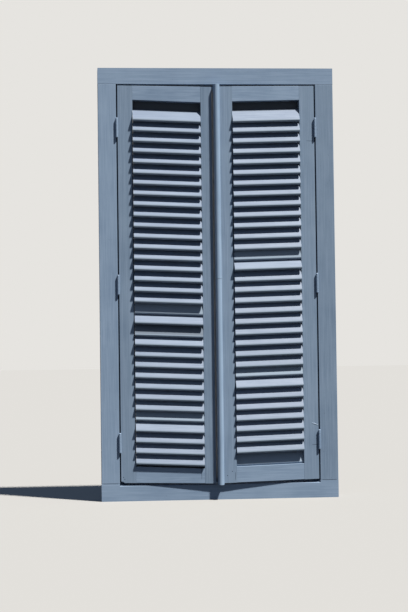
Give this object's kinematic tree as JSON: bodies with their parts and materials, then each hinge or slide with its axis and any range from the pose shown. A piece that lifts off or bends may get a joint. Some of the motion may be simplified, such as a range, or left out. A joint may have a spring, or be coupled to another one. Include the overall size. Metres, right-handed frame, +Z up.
{
  "type": "louvred window shutter pair in a timber frame",
  "caption": "Pair of hinged louvred timber shutter leaves in a rebated window frame, painted, standing slightly ajar, with a cover strip on the meeting edge.",
  "frame": {"origin": "middle of the sill's underside, halfway through the frame's depth", "axes": "+Z up along the jambs, +X to the right as seen from outside, -Y out towards the viewer"},
  "size_m": [0.944, 0.1293, 1.721],
  "materials": {
    "painted_timber": "blue-grey gloss paint, brushed on",
    "painted_slat": "blue-grey gloss paint, brushed on",
    "painted_hinge": "steel painted over with the timber"
  },
  "bodies": {
    "frame": {"frame_sill": "painted_timber", "frame_head": "painted_timber", "frame_jamb_left": "painted_timber", "frame_jamb_right": "painted_timber", "left_upper_hinge_frame_half": "painted_hinge", "left_middle_hinge_frame_half": "painted_hinge", "left_lower_hinge_frame_half": "painted_hinge", "right_upper_hinge_frame_half": "painted_hinge", "right_middle_hinge_frame_half": "painted_hinge", "right_lower_hinge_frame_half": "painted_hinge"},
    "left_leaf": {"left_upper_hinge_leaf_half": "painted_hinge", "left_middle_hinge_leaf_half": "painted_hinge", "left_lower_hinge_leaf_half": "painted_hinge", "left_hinge_stile": "painted_timber", "left_meeting_stile": "painted_timber", "left_top_rail": "painted_timber", "left_bottom_rail": "painted_timber", "left_slats_upper": "painted_slat", "left_slats_middle": "painted_slat", "left_slats_lower": "painted_slat", "left_tilt_rod": "painted_timber"},
    "right_leaf": {"right_upper_hinge_leaf_half": "painted_hinge", "right_middle_hinge_leaf_half": "painted_hinge", "right_lower_hinge_leaf_half": "painted_hinge", "right_hinge_stile": "painted_timber", "right_meeting_stile": "painted_timber", "right_top_rail": "painted_timber", "right_bottom_rail": "painted_timber", "right_slats_upper": "painted_slat", "right_slats_middle": "painted_slat", "right_slats_lower": "painted_slat", "right_tilt_rod": "painted_timber", "right_fallen_slat": "painted_slat", "right_cover_strip_upper": "painted_timber", "right_cover_strip_lower": "painted_timber"}
  },
  "joints": [
    {"name": "left_leaf_hinge", "type": "hinge", "parent": "frame", "child": "left_leaf", "pos_m": [-0.3975, -0.051, 0.8605], "axis": [0, 0, -1], "range_deg": [-2.2, 157.8]},
    {"name": "right_leaf_hinge", "type": "hinge", "parent": "frame", "child": "right_leaf", "pos_m": [0.3975, -0.051, 0.8605], "axis": [0, 0, 1], "range_deg": [-2.2, 157.8]}
  ]
}
